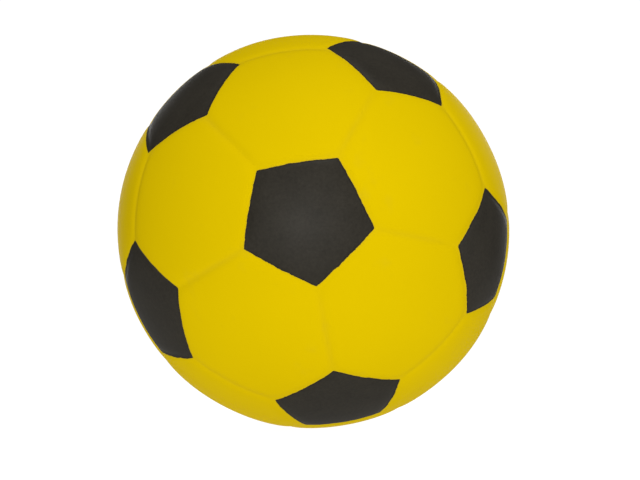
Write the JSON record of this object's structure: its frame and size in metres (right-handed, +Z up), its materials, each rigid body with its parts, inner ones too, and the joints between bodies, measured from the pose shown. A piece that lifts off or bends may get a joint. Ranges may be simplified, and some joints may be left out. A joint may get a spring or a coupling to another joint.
{
  "type": "playground ball",
  "caption": "Inflatable moulded rubber playground ball with black pentagon and yellow hexagon panels and a push-in valve.",
  "frame": {"origin": "the ball's centre", "axes": "+Z up; +Y along the valve's axis, out through the middle of the rear pentagon; -Y out through the middle of the front pentagon; the panel pattern is turned about Y so that the front pentagon's lowest corner lies 9 degrees towards +X from straight down"},
  "size_m": [0.216, 0.2159, 0.216],
  "materials": {
    "yellow_rubber": "satin",
    "black_rubber": "satin",
    "carcass_rubber": "matte",
    "winding_thread": "satin",
    "bladder_rubber": "satin",
    "valve_rubber": "matte"
  },
  "bodies": {
    "ball": {"pentagon_panel_01": "black_rubber", "pentagon_panel_02": "black_rubber", "pentagon_panel_03": "black_rubber", "pentagon_panel_04": "black_rubber", "pentagon_panel_05": "black_rubber", "pentagon_panel_06": "black_rubber", "pentagon_panel_07": "black_rubber", "pentagon_panel_08": "black_rubber", "pentagon_panel_09": "black_rubber", "pentagon_panel_10": "black_rubber", "pentagon_panel_11": "black_rubber", "pentagon_panel_12": "black_rubber", "hexagon_panel_01": "yellow_rubber", "hexagon_panel_02": "yellow_rubber", "hexagon_panel_03": "yellow_rubber", "hexagon_panel_04": "yellow_rubber", "hexagon_panel_05": "yellow_rubber", "hexagon_panel_06": "yellow_rubber", "hexagon_panel_07": "yellow_rubber", "hexagon_panel_08": "yellow_rubber", "hexagon_panel_09": "yellow_rubber", "hexagon_panel_10": "yellow_rubber", "hexagon_panel_11": "yellow_rubber", "hexagon_panel_12": "yellow_rubber", "hexagon_panel_13": "yellow_rubber", "hexagon_panel_14": "yellow_rubber", "hexagon_panel_15": "yellow_rubber", "hexagon_panel_16": "yellow_rubber", "hexagon_panel_17": "yellow_rubber", "hexagon_panel_18": "yellow_rubber", "hexagon_panel_19": "yellow_rubber", "hexagon_panel_20": "yellow_rubber", "carcass": "carcass_rubber", "thread_winding": "winding_thread", "bladder": "bladder_rubber", "valve_housing": "valve_rubber"},
    "valve_core": {"valve_core": "valve_rubber"}
  },
  "joints": [
    {"name": "valve_core_slide", "type": "slide", "parent": "ball", "child": "valve_core", "axis": [0, 1, 0], "range_m": [0, 0.03]}
  ]
}
